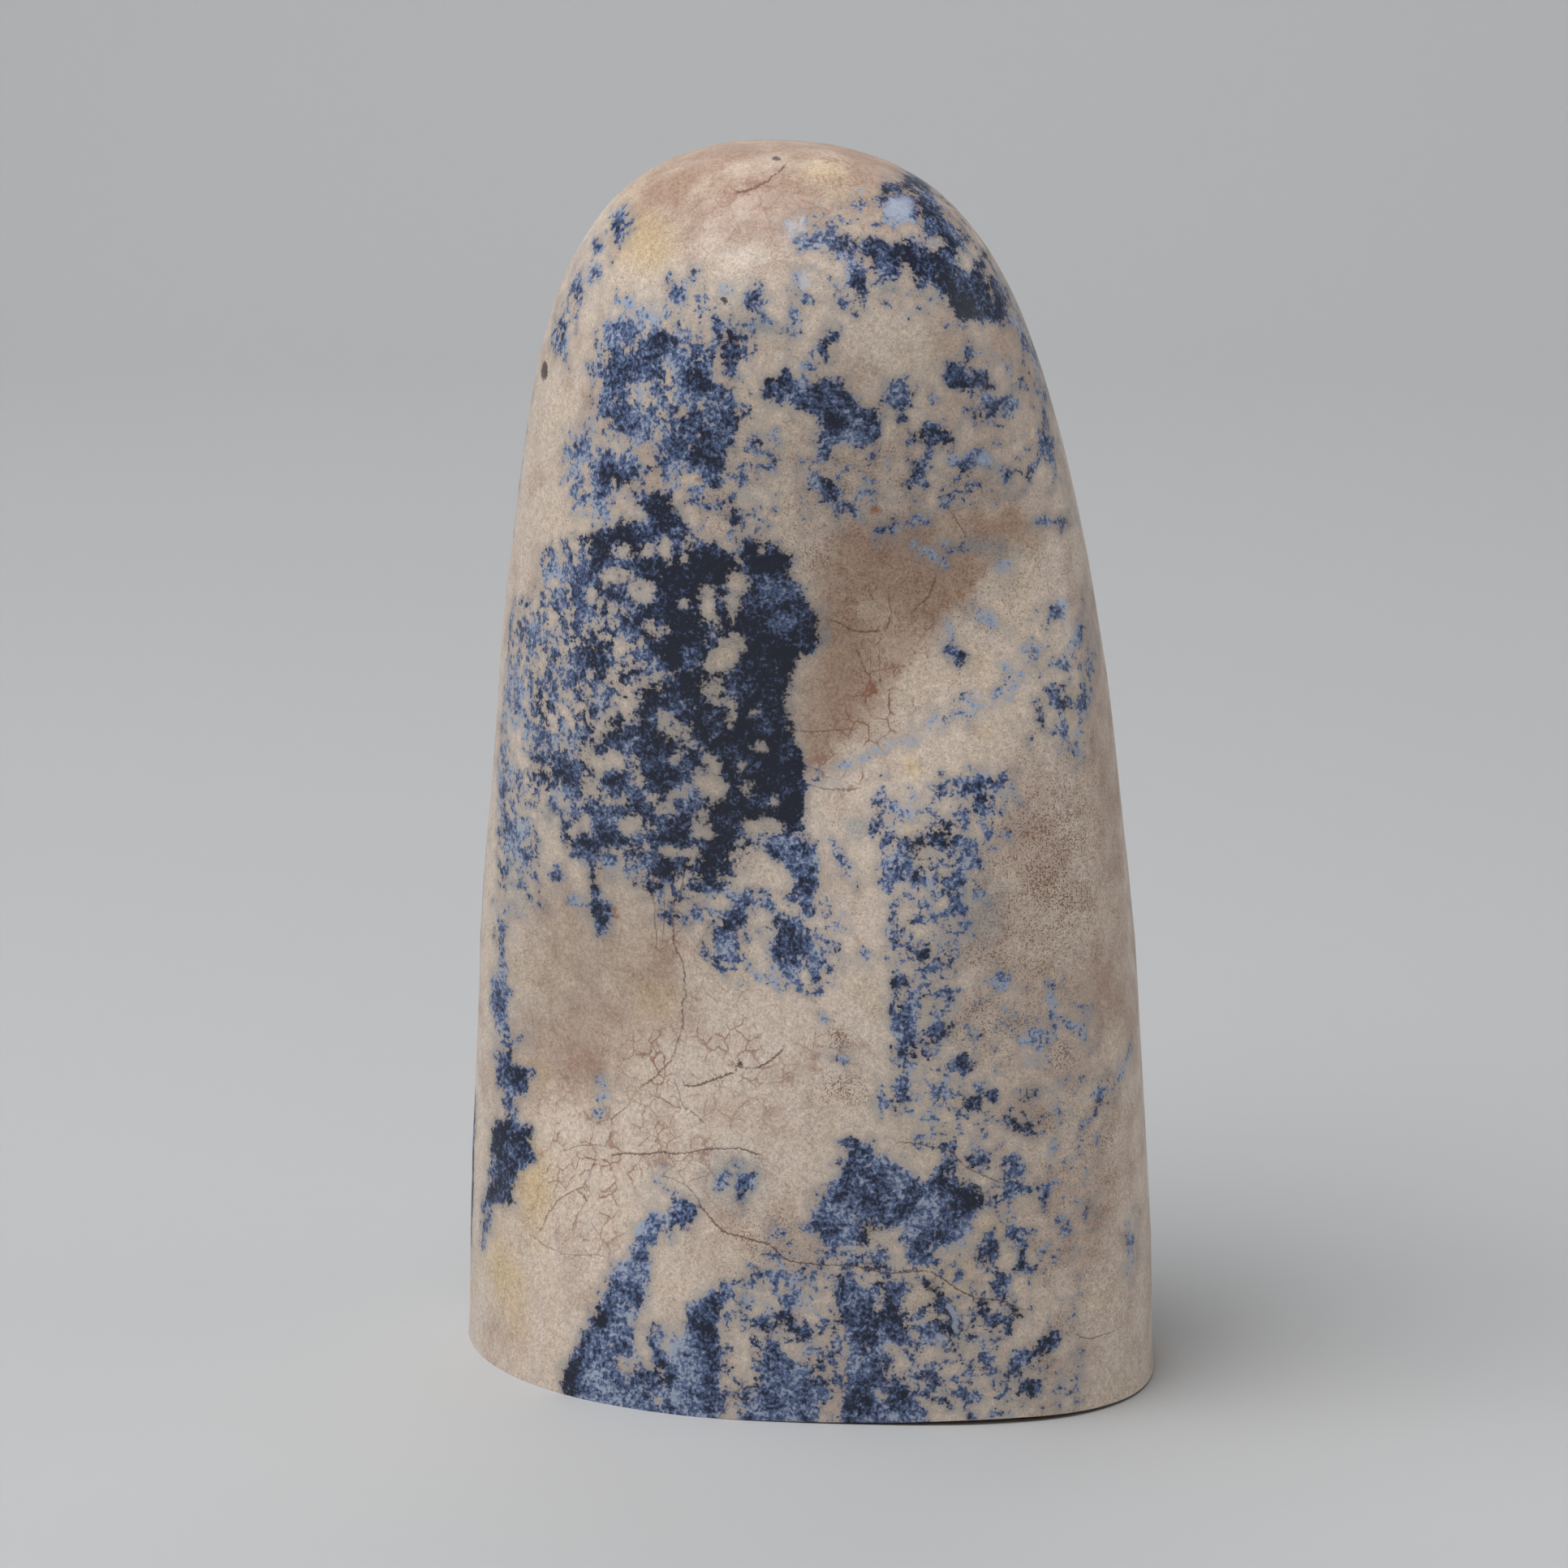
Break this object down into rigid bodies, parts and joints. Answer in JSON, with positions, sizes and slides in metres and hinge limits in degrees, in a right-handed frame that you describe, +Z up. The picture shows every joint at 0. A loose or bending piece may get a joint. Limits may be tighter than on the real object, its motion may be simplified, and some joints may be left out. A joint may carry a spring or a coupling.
{
  "type": "sodalite freeform",
  "caption": "Polished freeform of pinkish feldspar rock patched with blue sodalite, sawn flat underneath, with a rounded top and a valley across its front",
  "frame": {"origin": "middle of the flat sawn base, at the centre of the stone's box", "axes": "+Z up along the stone's height, -Y out of the broad front that the valley crosses, +X to the right seen from the front"},
  "size_m": [0.0664, 0.0496, 0.1162],
  "materials": {
    "stone": "satin polish, pinkish feldspar with dark and pale blue sodalite patches"
  },
  "bodies": {
    "root": {"stone": "stone"}
  },
  "joints": []
}
